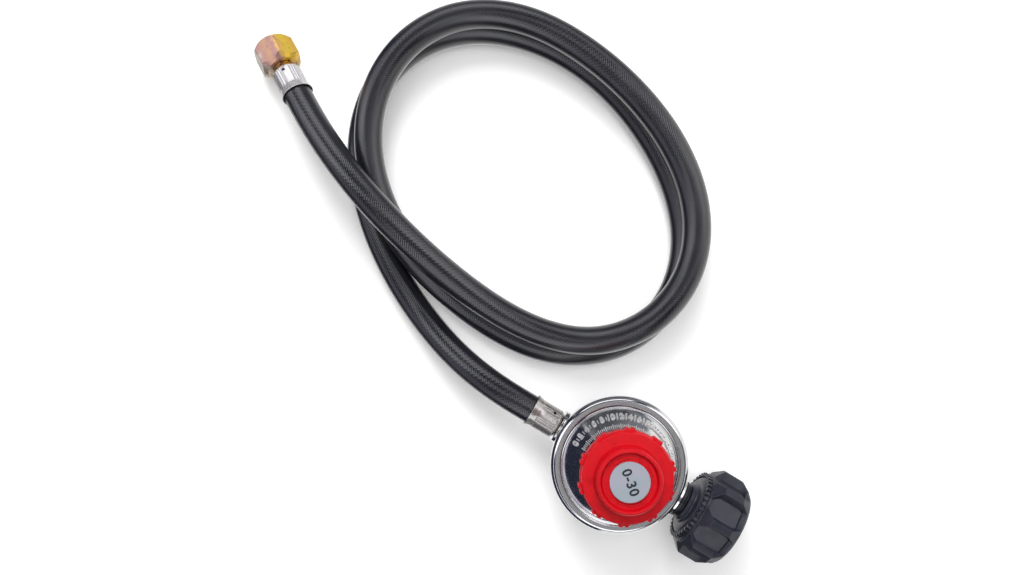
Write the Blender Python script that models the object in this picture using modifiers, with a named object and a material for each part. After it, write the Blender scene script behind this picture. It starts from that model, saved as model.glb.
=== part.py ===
"""Propane regulator hose: an adjustable LP gas regulator with a hand-tightened tank nut,
a rubber hose with two crimped ferrules, and a swivel flare nut on its far end.

Metres, +Z up. The origin is the centre of the regulator's flat base, +X points out of the
inlet towards the gas cylinder, and the knob turns about +Z. Lengths below are millimetres
and become metres where a mesh is made.
"""

import math

import bmesh
import bpy
import numpy as np
from mathutils import Matrix, Vector

MM = 0.001
GAP = 0.3  # left between neighbouring pieces
ROUND = 40  # sides of the large turned pieces

# Regulator castings: heights above the base, radii about the knob axis
PORT_Z = 23.0
LEDGE_Z = 31.0
RIM_R = 32.6
LIP_R = 28.8
LIP_TOP = 36.4
FLANGE_R = 31.4
FLANGE_TOP = 34.6
CONE_TOP_R, CONE_TOP_Z = 16.5, 50.5
TOWER_R, TOWER_BORE_R, TOWER_TOP = 12.3, 10.3, 62.3
TOWER_ROOF = 57.0  # underside of the threaded roof
INLET_END, OUTLET_END = 34.3, 33.1  # reach of the two port bosses from the knob axis
BOSS_R, COLLAR_R, COLLAR_START = 7.8, 9.7, 32.0

# Diaphragm group
DIAPHRAGM_T = 0.9
DIAPHRAGM_RISE = 2.2
PAN_R = 13.0
PAN_TOP = LEDGE_Z + GAP + DIAPHRAGM_RISE + DIAPHRAGM_T + GAP + 1.2
SPRING_R, SPRING_WIRE_R = 7.6, 1.1

# Knob and adjusting screw
KNOB_BOTTOM = 56.8
KNOB_SHOULDER = 64.0
KNOB_TOP = 72.0
KNOB_R = 20.9
KNOB_LUGS = 10
SCREW_R = 4.0
LABEL_R = 8.9

# Valve lever: a bell crank on a pin across the chamber
PIN_X, PIN_Z = 14.0, 16.2

# Tank nut on the inlet
NUT_BACK, NUT_FRONT = 37.8, 63.5
NUT_R = 22.6  # to the flat tops of the ribs
NUT_RIM_R = 19.7
NUT_PANEL_R = 18.2
NUT_THREAD_R = 16.7
NUT_RIBS = 8

# Hose, ferrules and flare fitting
HOSE_R = 6.95
FERRULE_R, FERRULE_RIM_R = 7.05, 7.75
FERRULE_LENGTH = 14.9
HOSE_DEPTH = 1.3  # how far the hose runs into a ferrule's mouth
FLARE_HEX = 19.05  # across flats
FLARE_NUT_START, FLARE_NUT_END = 15.5, 31.7  # from the ferrule's mouth
FLARE_BORE_R = 7.9
HEX_TURN = math.radians(109)  # one corner near the top

# The hose's centre line, from the flare fitting to the regulator. The first turn lies on the second.
ROUTE = [
    (-226.5, 73.5, 19.5), (-216.5, 68, 23), (-197, 58.5, 29), (-166.5, 47, 34),
    (-135, 38.5, 30), (-104, 33.5, 23), (-69.5, 33.5, 19.5), (-39.5, 44, 20.5),
    (-21, 66, 22), (-17, 97.5, 22), (-31, 126.5, 21), (-56, 146.5, 21),
    (-86.5, 158.5, 21.5), (-118.5, 163.5, 21.5), (-150.5, 160.5, 21.5), (-178.5, 144.5, 21.5),
    (-193, 117, 21.5), (-190.5, 85, 21.5), (-173.5, 58, 21), (-148.5, 39.5, 17),
    (-118.5, 28.5, 9.5), (-83, 24.5, 7), (-53, 29.5, 7), (-28, 47, 7),
    (-16, 77, 7), (-23, 108.5, 7), (-43, 132, 7), (-70.5, 149, 7),
    (-102, 159, 7), (-134, 160, 7), (-165, 150.5, 7), (-188, 129.5, 7),
    (-197, 99, 7), (-188.5, 67.5, 7), (-169, 43, 7), (-142.5, 23, 7),
    (-117.5, 10.5, 8.5), (-87, 2, 17.5), (-61, 0, 23), (-47, 0, 23),
]
HOSE_STEP = 15.5  # spacing of the tube's rings

COLOURS = {
    "zinc_plate": ((0.62, 0.63, 0.64), 0.22, 1.0),
    "brass": ((0.72, 0.52, 0.25), 0.3, 1.0),
    "spring_steel": ((0.45, 0.46, 0.48), 0.35, 1.0),
    "nickel": ((0.75, 0.74, 0.71), 0.2, 1.0),
    "yellow_zinc": ((0.78, 0.56, 0.3), 0.3, 1.0),
    "red_plastic": ((0.68, 0.012, 0.016), 0.35, 0.0),
    "label": ((0.58, 0.61, 0.66), 0.4, 0.0),
    "black_plastic": ((0.045, 0.048, 0.065), 0.5, 0.0),
    "rubber": ((0.018, 0.018, 0.022), 0.55, 0.0),
}


def clear_scene():
    for obj in list(bpy.data.objects):
        bpy.data.objects.remove(obj, do_unlink=True)


def collection(name):
    made = bpy.data.collections.new(name)
    bpy.context.scene.collection.children.link(made)
    return made


def material(name):
    if name in bpy.data.materials:
        return bpy.data.materials[name]
    colour, roughness, metallic = COLOURS[name]
    made = bpy.data.materials.new(name)
    made.use_nodes = True
    shader = made.node_tree.nodes["Principled BSDF"]
    shader.inputs["Base Color"].default_value = (*colour, 1)
    shader.inputs["Roughness"].default_value = roughness
    shader.inputs["Metallic"].default_value = metallic
    return made


def frame_at(axis, at):
    """Matrix whose +Z runs along axis from the point at (mm), with +Y as near to straight up as it can be."""
    z = Vector(axis).normalized()
    x = Vector((0, 0, 1)).cross(z)
    x = x.normalized() if x.length > 0.001 else Vector((1, 0, 0))
    turn = Matrix((x, z.cross(x), z)).transposed()
    return Matrix.Translation(Vector(at) * MM) @ turn.to_4x4()


UP = frame_at((0, 0, 1), (0, 0, 0))
SIDE = frame_at((0, -1, 0), (0, 0, 0))  # its x and y are the world's x and z
INLET = frame_at((1, 0, 0), (0, 0, PORT_Z))
OUTLET = frame_at((-1, 0, 0), (0, 0, PORT_Z))
PIN = frame_at((0, 1, 0), (PIN_X, 0, PIN_Z))


def add(name, mesh, place, look, cutter=False):
    obj = bpy.data.objects.new(name, mesh)
    (CUTTERS if cutter else PARTS).objects.link(obj)
    obj.matrix_world = place
    if cutter:
        obj.hide_render = True
        obj.display_type = "WIRE"
    else:
        mesh.materials.append(material(look))
    return obj


def turned(name, outline, place, look=None, steps=32, closed=True, cutter=False):
    """Body of revolution from (radius, height) points that run down its outer side."""
    mesh = bpy.data.meshes.new(name)
    last = len(outline) - 1
    edges = [(i, i + 1) for i in range(last)] + ([(last, 0)] if closed else [])
    mesh.from_pydata([(r * MM, 0, z * MM) for r, z in outline], edges, [])
    obj = add(name, mesh, place, look, cutter)
    screw = obj.modifiers.new("Turn", "SCREW")
    screw.steps = screw.render_steps = steps
    screw.use_merge_vertices = True
    screw.merge_threshold = 0.00001
    screw.use_smooth_shade = False
    return obj


def solid_turned(name, outline, place, look=None, steps=32, cutter=False):
    """As turned, for an outline that starts and ends on the axis."""
    return turned(name, outline, place, look, steps, closed=False, cutter=cutter)


def cylinder(name, radius, low, high, place, look=None, sides=24, cutter=False):
    build = bmesh.new()
    bmesh.ops.create_cone(
        build, cap_ends=True, segments=sides, radius1=radius * MM, radius2=radius * MM, depth=(high - low) * MM
    )
    bmesh.ops.translate(build, verts=build.verts, vec=(0, 0, (high + low) / 2 * MM))
    mesh = bpy.data.meshes.new(name)
    build.to_mesh(mesh)
    build.free()
    return add(name, mesh, place, look, cutter)


def block(name, low, high, place=UP, look=None, cutter=False):
    build = bmesh.new()
    bmesh.ops.create_cube(build, size=1)
    size = [(b - a) * MM for a, b in zip(low, high)]
    middle = [(b + a) / 2 * MM for a, b in zip(low, high)]
    bmesh.ops.scale(build, verts=build.verts, vec=size)
    bmesh.ops.translate(build, verts=build.verts, vec=middle)
    mesh = bpy.data.meshes.new(name)
    build.to_mesh(mesh)
    build.free()
    return add(name, mesh, place, look, cutter)


def mesh_of_curve(curve, name):
    """The curve's evaluated mesh, its loose caps welded."""
    bpy.context.view_layer.update()
    graph = bpy.context.evaluated_depsgraph_get()
    mesh = bpy.data.meshes.new_from_object(curve.evaluated_get(graph))
    mesh.name = name
    build = bmesh.new()
    build.from_mesh(mesh)
    bmesh.ops.remove_doubles(build, verts=build.verts, dist=0.000001)
    bmesh.ops.recalc_face_normals(build, faces=build.faces)
    build.to_mesh(mesh)
    build.free()
    bpy.data.objects.remove(curve, do_unlink=True)
    return mesh


def plate(name, outline, low, high, place, look=None, cutter=False):
    """Flat outline of (x, y) points between two heights of its own frame."""
    data = bpy.data.curves.new(name, "CURVE")
    data.dimensions = "2D"
    data.fill_mode = "BOTH"
    data.extrude = (high - low) / 2 * MM
    line = data.splines.new("POLY")
    line.points.add(len(outline) - 1)
    for point, (x, y) in zip(line.points, outline):
        point.co = (x * MM, y * MM, 0, 1)
    line.use_cyclic_u = True
    curve = bpy.data.objects.new(name, data)
    bpy.context.scene.collection.objects.link(curve)
    mesh = mesh_of_curve(curve, name)
    mesh.transform(Matrix.Translation((0, 0, (high + low) / 2 * MM)))
    return add(name, mesh, place, look, cutter)


def wire(name, points, radius, look, bevel_resolution=2):
    """Round wire or tube through the points (mm, world)."""
    data = bpy.data.curves.new(name, "CURVE")
    data.dimensions = "3D"
    data.bevel_depth = radius * MM
    data.bevel_resolution = bevel_resolution
    data.use_fill_caps = True
    line = data.splines.new("POLY")
    line.points.add(len(points) - 1)
    for point, at in zip(line.points, points):
        point.co = (*(Vector(at) * MM), 1)
    data.materials.append(material(look))
    obj = bpy.data.objects.new(name, data)
    PARTS.objects.link(obj)
    return obj


def boolean(target, other, operation):
    change = target.modifiers.new(other.name, "BOOLEAN")
    change.operation = operation
    change.object = other


def cut(target, *cutters):
    for cutter in cutters:
        boolean(target, cutter, "DIFFERENCE")


def join(target, *others):
    for other in others:
        boolean(target, other, "UNION")


def ring_of(count, radius, start=0.0):
    turn = 2 * math.pi / count
    return [(radius * math.cos(start + i * turn), radius * math.sin(start + i * turn)) for i in range(count)]


def coil(radius, low, high, turns, place, per_turn=14):
    """Helix points (mm, world) about the place's +Z, between two heights."""
    count = round(turns * per_turn)
    points = []
    for i in range(count + 1):
        angle = 2 * math.pi * i / per_turn
        height = low + (high - low) * i / count
        local = Vector((radius * math.cos(angle), radius * math.sin(angle), height)) * MM
        points.append((place @ local) / MM)
    return points


def smooth_line(route, step):
    """Points about every step along the natural cubic spline through the route."""
    knots = np.array(route, float)
    last = len(knots) - 1
    gaps = np.linalg.norm(np.diff(knots, axis=0), axis=1)
    at = np.concatenate([[0], np.cumsum(gaps)])
    matrix = np.eye(last + 1)
    right = np.zeros((last + 1, 3))
    for i in range(1, last):
        matrix[i, i - 1 : i + 2] = gaps[i - 1], 2 * (gaps[i - 1] + gaps[i]), gaps[i]
        right[i] = 6 * ((knots[i + 1] - knots[i]) / gaps[i] - (knots[i] - knots[i - 1]) / gaps[i - 1])
    bend = np.linalg.solve(matrix, right)
    where = np.linspace(0, at[-1], round(at[-1] / step) + 1)
    k = np.clip(np.searchsorted(at, where, side="right") - 1, 0, last - 1)
    u = (where - at[k])[:, None]
    h = gaps[k][:, None]
    slope = (knots[k + 1] - knots[k]) / h - h * (2 * bend[k] + bend[k + 1]) / 6
    return knots[k] + u * slope + u**2 * bend[k] / 2 + u**3 * (bend[k + 1] - bend[k]) / (6 * h)


def body_casting():
    """Lower bowl with its rolled lip, flat base, two ports and the posts of the lever's pin."""
    outline = [
        (0, 6.5), (20.0, 6.5), (25.3, 15.0), (25.5, LEDGE_Z), (FLANGE_R + GAP, LEDGE_Z),
        (FLANGE_R + GAP, FLANGE_TOP + GAP), (LIP_R, FLANGE_TOP + GAP), (LIP_R, 36.0), (29.4, LIP_TOP),
        (31.2, LIP_TOP), (32.1, 35.6), (RIM_R, 34.2), (RIM_R, 30.0), (32.2, 28.8), (29.6, 27.0),
        (28.4, 16.0), (25.5, 9.0), (19.0, 1.2), (17.5, 0), (0, 0),
    ]
    bowl = solid_turned("body_casting", outline, UP, "zinc_plate", steps=ROUND)
    join(
        bowl,
        cylinder("inlet_boss", BOSS_R, 20.0, INLET_END, INLET, sides=32, cutter=True),
        cylinder("inlet_collar", COLLAR_R, COLLAR_START, INLET_END, INLET, sides=32, cutter=True),
        cylinder("outlet_boss", BOSS_R, 22.0, OUTLET_END, OUTLET, sides=32, cutter=True),
        cylinder("outlet_collar", COLLAR_R - 0.4, COLLAR_START, OUTLET_END, OUTLET, sides=32, cutter=True),
        block("pin_post_left", (11.4, 1.9, 4.0), (16.6, 4.6, 18.7), cutter=True),
        block("pin_post_right", (11.4, -4.6, 4.0), (16.6, -1.9, 18.7), cutter=True),
    )
    cut(
        bowl,
        cylinder("inlet_thread", 6.6, 23.0, INLET_END + 2, INLET, cutter=True),
        cylinder("nozzle_bore", 4.0, 17.0, 24.0, INLET, cutter=True),
        cylinder("outlet_thread", 5.3, 25.5, OUTLET_END + 2, OUTLET, cutter=True),
        cylinder("outlet_port", 3.0, 20.0, 26.5, OUTLET, sides=16, cutter=True),
        cylinder("pin_hole", 1.3, -6.0, 6.0, PIN, sides=16, cutter=True),
    )


def bonnet():
    """Cone and spring tower, held by its flange under the casting's lip."""
    flange_low = LEDGE_Z + DIAPHRAGM_T + 2 * GAP
    outline = [
        (4.3, TOWER_TOP), (11.6, TOWER_TOP), (TOWER_R, TOWER_TOP - 0.7), (TOWER_R, 52.2), (13.2, 51.2),
        (CONE_TOP_R, CONE_TOP_Z), (27.9, 35.6), (28.3, FLANGE_TOP), (FLANGE_R, FLANGE_TOP),
        (FLANGE_R, flange_low), (26.0, flange_low), (25.6, 34.0), (14.5, 47.8), (TOWER_BORE_R, 49.0),
        (TOWER_BORE_R, TOWER_ROOF), (4.3, TOWER_ROOF),
    ]
    shell = turned("bonnet", outline, UP, "zinc_plate", steps=ROUND)
    vent_place = frame_at((-1, -1, 1.3), (-12.5, -12.5, 47.5))
    cut(shell, cylinder("vent_hole", 1.2, -6.0, 6.0, vent_place, sides=12, cutter=True))


def diaphragm_group():
    """Domed rubber diaphragm, and the stem that holds its pan and hangs down to the lever."""
    low = LEDGE_Z + GAP
    high = low + DIAPHRAGM_RISE
    top = high + DIAPHRAGM_T
    turned(
        "diaphragm",
        [
            (3.2, top), (14.5, top), (19.5, low + 1.6), (23.5, low + DIAPHRAGM_T), (31.3, low + DIAPHRAGM_T),
            (31.3, low), (23.8, low), (19.2, low + 0.6), (14.2, high), (3.2, high),
        ],
        UP, "rubber", steps=24,
    )
    turned(
        "diaphragm_pan",
        [
            (3.2, PAN_TOP), (11.2, PAN_TOP), (11.8, PAN_TOP + 1.0), (PAN_R, PAN_TOP + 1.0),
            (PAN_R, top + GAP), (3.2, top + GAP),
        ],
        UP, "spring_steel", steps=24,
    )
    head = PAN_TOP + GAP
    washer = high - GAP
    stem = solid_turned(
        "diaphragm_stem",
        [
            (0, head + 1.2), (3.9, head + 1.2), (4.4, head + 0.7), (4.4, head), (2.9, head), (2.9, washer),
            (7.0, washer), (7.0, washer - 1.3), (2.6, washer - 1.3), (2.6, 24.0), (0, 24.0),
        ],
        UP, "brass", steps=24,
    )
    cut(stem, block("stem_slot", (-4.0, -1.4, 25.3), (4.0, 1.4, 28.7), cutter=True))


def spring_group():
    """Main spring between the diaphragm's pan and the button that the adjusting screw pushes down."""
    button = TOWER_ROOF - 0.8
    seat = button - 3.0
    solid_turned(
        "spring_button",
        [
            (0, button), (8.8, button), (9.6, button - 0.8), (9.6, seat), (5.6, seat),
            (5.0, seat - 3.0), (0, seat - 3.0),
        ],
        UP, "spring_steel", steps=24,
    )
    turns = coil(SPRING_R, PAN_TOP + SPRING_WIRE_R + GAP, seat - SPRING_WIRE_R - GAP, 4.0, UP)
    wire("main_spring", turns, SPRING_WIRE_R, "spring_steel")
    foot = button + GAP
    solid_turned(
        "adjusting_screw",
        [
            (0, 62.5), (2.4, 62.5), (2.4, 68.6), (3.4, 68.6), (SCREW_R, 68.0), (SCREW_R, foot + 1.0),
            (3.0, foot), (0, foot),
        ],
        UP, "spring_steel", steps=24,
    )


def knob_group():
    """Knob with grip lugs round its skirt, the screw that holds it and the disc that hides the screw."""
    floor = KNOB_TOP - 2.2
    ceiling = 67.2
    outline = [
        (2.4, floor), (11.9, floor), (12.5, KNOB_TOP - 0.4), (12.9, KNOB_TOP), (13.9, KNOB_TOP),
        (14.4, KNOB_TOP - 0.5), (15.1, KNOB_SHOULDER + 0.6), (15.6, KNOB_SHOULDER), (19.6, KNOB_SHOULDER),
        (20.3, KNOB_SHOULDER - 0.6), (KNOB_R, 60.0), (KNOB_R, KNOB_BOTTOM), (18.9, KNOB_BOTTOM),
        (18.4, 61.8), (12.9, 62.6), (12.9, ceiling), (4.3, ceiling), (4.3, 68.9), (2.4, 68.9),
    ]
    knob = turned("knob", outline, UP, "red_plastic", steps=ROUND)
    for i in range(KNOB_LUGS):
        turn = Matrix.Rotation(2 * math.pi * (i + 0.25) / KNOB_LUGS, 4, "Z")
        lug = plate(
            f"knob_lug_{i}", [(20.0, -2.6), (22.3, -1.7), (22.3, 1.7), (20.0, 2.6)],
            KNOB_BOTTOM + 0.4, 61.6, turn, cutter=True,
        )
        join(knob, lug)
    head = floor + GAP
    solid_turned(
        "knob_screw",
        [(0, head + 0.9), (3.6, head + 0.9), (4.2, head + 0.4), (4.2, head), (2.1, head), (2.1, 63.5), (0, 63.5)],
        UP, "spring_steel", steps=20,
    )
    disc = floor + 1.8
    solid_turned(
        "knob_label",
        [(0, disc), (8.7, disc), (LABEL_R, disc - 0.2), (LABEL_R, head), (8.2, head), (8.2, disc - 0.5), (0, disc - 0.5)],
        UP, "label", steps=24,
    )


def valve_group():
    """Bell-crank lever on its pin, the carrier that it slides, and the nozzle that the carrier closes."""
    lever = plate(
        "valve_lever",
        [
            (15.6, 14.6), (16.2, 16.2), (15.6, 17.8), (12.0, 18.5), (12.0, 24.3), (11.5, 24.9), (10.5, 24.9),
            (10.0, 24.3), (10.0, 18.2), (6.3, 18.2), (6.3, 28.0), (-0.6, 28.0), (-1.0, 27.6), (-1.0, 26.4),
            (-0.6, 26.0), (4.3, 26.0), (4.3, 15.0), (13.2, 14.0),
        ],
        -1.0, 1.0, SIDE, "brass",
    )
    cut(lever, cylinder("lever_hole", 1.25, -2.0, 2.0, PIN, sides=16, cutter=True))
    cylinder("lever_pin", 1.0, -4.6, 4.6, PIN, "spring_steel", sides=16)
    carrier = cylinder("valve_carrier", 4.0, 8.6, 13.4, INLET, "brass", sides=24)
    cut(carrier, block("finger_slot", (9.5, -1.4, 17.0), (12.6, 1.4, 25.4), cutter=True))
    cylinder("seat_disc", 3.6, 13.7, 14.9, INLET, "rubber", sides=24)
    turned(
        "inlet_nozzle",
        [(0.9, 22.7), (3.7, 22.7), (3.7, 16.8), (2.6, 16.4), (1.7, 15.2), (0.9, 15.2)],
        INLET, "brass", steps=24,
    )


def inlet_group():
    """Nipple that the tank nut turns on, its heat bushing, and the flow limiter inside its nose."""
    turned(
        "inlet_nipple",
        [
            (3.4, 57.5), (4.6, 57.5), (5.3, 56.4), (6.0, 53.0), (6.0, 43.6), (10.5, 43.6), (10.5, 41.8),
            (6.3, 41.8), (6.3, 24.4), (5.6, 23.2), (1.9, 23.2), (1.9, 44.8), (3.4, 45.2),
        ],
        INLET, "brass", steps=24,
    )
    turned(
        "heat_bushing",
        [
            (6.6, 37.5), (8.2, 37.5), (8.2, 36.4), (8.9, 36.2), (8.9, INLET_END + GAP), (6.6, INLET_END + GAP),
        ],
        INLET, "black_plastic", steps=24,
    )
    solid_turned(
        "flow_limiter_poppet",
        [(0, 54.6), (2.2, 54.6), (2.9, 53.6), (2.9, 49.5), (1.3, 49.0), (1.3, 46.5), (0, 46.5)],
        INLET, "brass", steps=20,
    )
    wire("flow_limiter_spring", coil(2.4, 45.9, 48.5, 3.0, INLET, per_turn=12), 0.3, "spring_steel")
    turned("flow_limiter_clip", [(2.3, 55.8), (3.1, 55.8), (3.1, 55.0), (2.3, 55.0)], INLET, "spring_steel", steps=20)


def tank_nut():
    """Hand nut with grip ribs, an internal thread's bore and a back wall that the nipple's flange retains."""
    outline = [
        (18.8, NUT_FRONT), (NUT_RIM_R, NUT_FRONT - 0.9), (NUT_RIM_R, 60.8), (NUT_PANEL_R, 59.6),
        (NUT_PANEL_R, 43.0), (17.6, 42.2), (13.4, 38.8), (12.4, NUT_BACK), (6.7, NUT_BACK),
        (6.7, 41.5), (11.5, 41.5), (11.5, 44.2), (NUT_THREAD_R, 45.2), (NUT_THREAD_R, 62.9), (17.3, NUT_FRONT),
    ]
    nut = turned("tank_nut", outline, INLET, "black_plastic", steps=ROUND)
    slopes = solid_turned(
        "nut_rib_ends",
        [(0, 61.8), (19.3, 61.8), (23.4, 57.4), (23.4, 46.0), (17.6, 43.2), (0, 43.2)],
        INLET, steps=ROUND, cutter=True,
    )
    for i in range(NUT_RIBS):
        turn = Matrix.Rotation(2 * math.pi * i / NUT_RIBS, 4, "Z")
        rib = plate(
            f"nut_rib_{i}", [(17.4, -3.1), (NUT_R, -1.8), (NUT_R, 1.8), (17.4, 3.1)],
            42.8, 62.2, INLET @ turn, cutter=True,
        )
        boolean(rib, slopes, "INTERSECT")
        join(nut, rib)


def hose_end(prefix, mouth):
    """Crimped ferrule and the hose's own end inside it; mouth points from the hose to its fitting."""
    end = FERRULE_LENGTH
    turned(
        f"{prefix}_ferrule",
        [
            (4.7, end), (FERRULE_R - 0.5, end), (FERRULE_R, end - 0.5), (FERRULE_R, 2.4), (FERRULE_RIM_R, 1.3),
            (FERRULE_RIM_R, 0), (7.3, 0), (7.3, 1.7), (6.45, 2.3), (6.45, end - 0.9), (4.7, end - 0.9),
        ],
        mouth, "nickel", steps=24,
    )
    turned(
        f"{prefix}_hose_cuff",
        [(4.6, end - 1.3), (6.1, end - 1.3), (6.1, HOSE_DEPTH + GAP), (4.6, HOSE_DEPTH + GAP)],
        mouth, "rubber", steps=16,
    )


def barbs(low, count, pitch=2.6, crest=4.3, root=3.7):
    """Outline points down a barbed stem, crests towards the fitting."""
    points = []
    for i in reversed(range(count)):
        foot = low + i * pitch
        points += [(crest, foot + pitch * 0.9), (root, foot + 0.1)]
    return points


def outlet_barb(mouth):
    """Barbed stem from inside the hose to its thread in the casting."""
    tip = HOSE_DEPTH + GAP
    turned(
        "outlet_barb",
        [(2.4, 22.4), (4.6, 22.4), (5.0, 21.8), (5.0, 15.4), (4.3, 15.3), *barbs(tip, 5), (2.4, tip)],
        mouth, "brass", steps=16,
    )


def flare_end(mouth):
    """Barbed insert with its flare cone, and the hexagon nut that swivels on it."""
    tip = HOSE_DEPTH + GAP
    back = FLARE_NUT_START
    turned(
        "flare_insert",
        [
            (2.4, back + 8.8), (3.2, back + 8.8), (6.9, back + 4.9), (7.3, back + 4.4), (7.3, back + 3.3),
            (5.0, back + 3.3), (5.0, 15.3), (4.3, 15.0), *barbs(tip, 5), (2.4, tip),
        ],
        mouth, "brass", steps=20,
    )
    corner = FLARE_HEX / 2 / math.cos(math.pi / 6)
    nut = plate("flare_nut", ring_of(6, corner, HEX_TURN), back, FLARE_NUT_END, mouth, "yellow_zinc")
    chamfer = solid_turned(
        "flare_nut_chamfer",
        [
            (0, FLARE_NUT_END), (9.1, FLARE_NUT_END), (corner + 0.2, FLARE_NUT_END - 1.25),
            (corner + 0.2, back + 1.25), (9.1, back), (0, back),
        ],
        mouth, steps=24, cutter=True,
    )
    boolean(nut, chamfer, "INTERSECT")
    cut(
        nut,
        solid_turned(
            "flare_nut_bore",
            [
                (0, FLARE_NUT_END + 1), (9.2, FLARE_NUT_END + 1), (FLARE_BORE_R, FLARE_NUT_END - 0.7),
                (FLARE_BORE_R, back + 3.0), (5.35, back + 3.0), (5.35, back - 1), (0, back - 1),
            ],
            mouth, steps=24, cutter=True,
        ),
    )


def main():
    body_casting()
    bonnet()
    diaphragm_group()
    spring_group()
    knob_group()
    valve_group()
    inlet_group()
    tank_nut()
    wire("hose", smooth_line(ROUTE, HOSE_STEP), HOSE_R, "rubber", bevel_resolution=3)
    near, beside = Vector(ROUTE[-1]), Vector(ROUTE[-2])
    inward = (near - beside).normalized()
    regulator_mouth = frame_at(inward, near - HOSE_DEPTH * inward)
    hose_end("regulator", regulator_mouth)
    outlet_barb(regulator_mouth)
    far, before = Vector(ROUTE[0]), Vector(ROUTE[1])
    outward = (far - before).normalized()
    far_mouth = frame_at(outward, far - HOSE_DEPTH * outward)
    hose_end("far", far_mouth)
    flare_end(far_mouth)
    bpy.context.view_layer.update()


clear_scene()
PARTS = collection("propane_regulator_hose")
CUTTERS = collection("cutters")
main()
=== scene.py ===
"""Looks of the propane regulator hose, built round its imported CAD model. The scene is in metres
with +Z up; the functions that make shapes take millimetres and multiply them by MM."""

import math

import bmesh
import bpy
import numpy as np
from mathutils import Matrix, Vector

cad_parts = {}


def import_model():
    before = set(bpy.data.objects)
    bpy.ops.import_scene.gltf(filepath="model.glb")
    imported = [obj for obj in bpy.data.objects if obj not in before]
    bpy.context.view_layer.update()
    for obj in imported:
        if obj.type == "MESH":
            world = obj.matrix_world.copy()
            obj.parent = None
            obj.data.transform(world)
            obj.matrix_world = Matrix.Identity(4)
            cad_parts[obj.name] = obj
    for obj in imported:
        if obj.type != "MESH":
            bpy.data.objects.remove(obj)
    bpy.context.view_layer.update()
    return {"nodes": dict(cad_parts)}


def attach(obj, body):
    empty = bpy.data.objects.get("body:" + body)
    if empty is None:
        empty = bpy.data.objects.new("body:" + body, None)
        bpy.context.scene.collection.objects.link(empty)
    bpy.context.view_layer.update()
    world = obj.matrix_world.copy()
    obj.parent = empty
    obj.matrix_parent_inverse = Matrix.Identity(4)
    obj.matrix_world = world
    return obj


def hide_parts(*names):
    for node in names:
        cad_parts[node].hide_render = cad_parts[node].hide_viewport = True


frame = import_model()
MM = 0.001

# ---------------------------------------------------------------- places, given as numbers
PORT_Z = 0.023
IMAGE_TURN = math.radians(30.96)  # the picture's right, as an angle about +Z from +X
PICTURE_RIGHT = Vector((math.cos(IMAGE_TURN), math.sin(IMAGE_TURN), 0))
PICTURE_UP = Vector((-math.sin(IMAGE_TURN), math.cos(IMAGE_TURN), 0))
HOSE_R = 6.95
HOSE_DEPTH = 1.3  # how far the hose runs into a ferrule's mouth

# The hose's centre line in millimetres, from the flare fitting to the regulator, as in part.py
ROUTE = [
    (-226.5, 73.5, 19.5), (-216.5, 68, 23), (-197, 58.5, 29), (-166.5, 47, 34),
    (-135, 38.5, 30), (-104, 33.5, 23), (-69.5, 33.5, 19.5), (-39.5, 44, 20.5),
    (-21, 66, 22), (-17, 97.5, 22), (-31, 126.5, 21), (-56, 146.5, 21),
    (-86.5, 158.5, 21.5), (-118.5, 163.5, 21.5), (-150.5, 160.5, 21.5), (-178.5, 144.5, 21.5),
    (-193, 117, 21.5), (-190.5, 85, 21.5), (-173.5, 58, 21), (-148.5, 39.5, 17),
    (-118.5, 28.5, 9.5), (-83, 24.5, 7), (-53, 29.5, 7), (-28, 47, 7),
    (-16, 77, 7), (-23, 108.5, 7), (-43, 132, 7), (-70.5, 149, 7),
    (-102, 159, 7), (-134, 160, 7), (-165, 150.5, 7), (-188, 129.5, 7),
    (-197, 99, 7), (-188.5, 67.5, 7), (-169, 43, 7), (-142.5, 23, 7),
    (-117.5, 10.5, 8.5), (-87, 2, 17.5), (-61, 0, 23), (-47, 0, 23),
]
RING_STEP = 1.6  # spacing of the hose's rings, mm


def frame_at(axis, at):
    """Matrix whose +Z runs along axis from the point at (mm), with +Y as near to upright as can be."""
    z = Vector(axis).normalized()
    x = Vector((0, 0, 1)).cross(z)
    x = x.normalized() if x.length > 0.001 else Vector((1, 0, 0))
    turn = Matrix((x, z.cross(x), z)).transposed()
    return Matrix.Translation(Vector(at) * MM) @ turn.to_4x4()


UP = frame_at((0, 0, 1), (0, 0, 0))
INLET = frame_at((1, 0, 0), (0, 0, PORT_Z / MM))
OUTLET = frame_at((-1, 0, 0), (0, 0, PORT_Z / MM))
NEAR, BESIDE = Vector(ROUTE[-1]), Vector(ROUTE[-2])
INWARD = (NEAR - BESIDE).normalized()
REGULATOR_MOUTH = frame_at(INWARD, NEAR - HOSE_DEPTH * INWARD)
FAR, BEFORE = Vector(ROUTE[0]), Vector(ROUTE[1])
OUTWARD = (FAR - BEFORE).normalized()
FAR_MOUTH = frame_at(OUTWARD, FAR - HOSE_DEPTH * OUTWARD)


# ---------------------------------------------------------------- camera, light, floor
CAMERA_AT = (-0.0869, 0.0459, 0.445)
LENS, SENSOR = 30.49, 36.0
LAMPS_AIM = Vector((-0.06, 0.04, 0.02))


def linked(name, data):
    """A new object in the scene."""
    made = bpy.data.objects.new(name, data)
    bpy.context.scene.collection.objects.link(made)
    return made


def camera():
    """Looks straight down, from above the hose's middle."""
    data = bpy.data.cameras.new("camera")
    data.sensor_width = SENSOR
    data.lens = LENS
    data.clip_start = 0.01
    data.clip_end = 50
    made = linked("camera", data)
    made.location = CAMERA_AT
    made.rotation_euler = (0, 0, IMAGE_TURN)
    bpy.context.scene.camera = made


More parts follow.
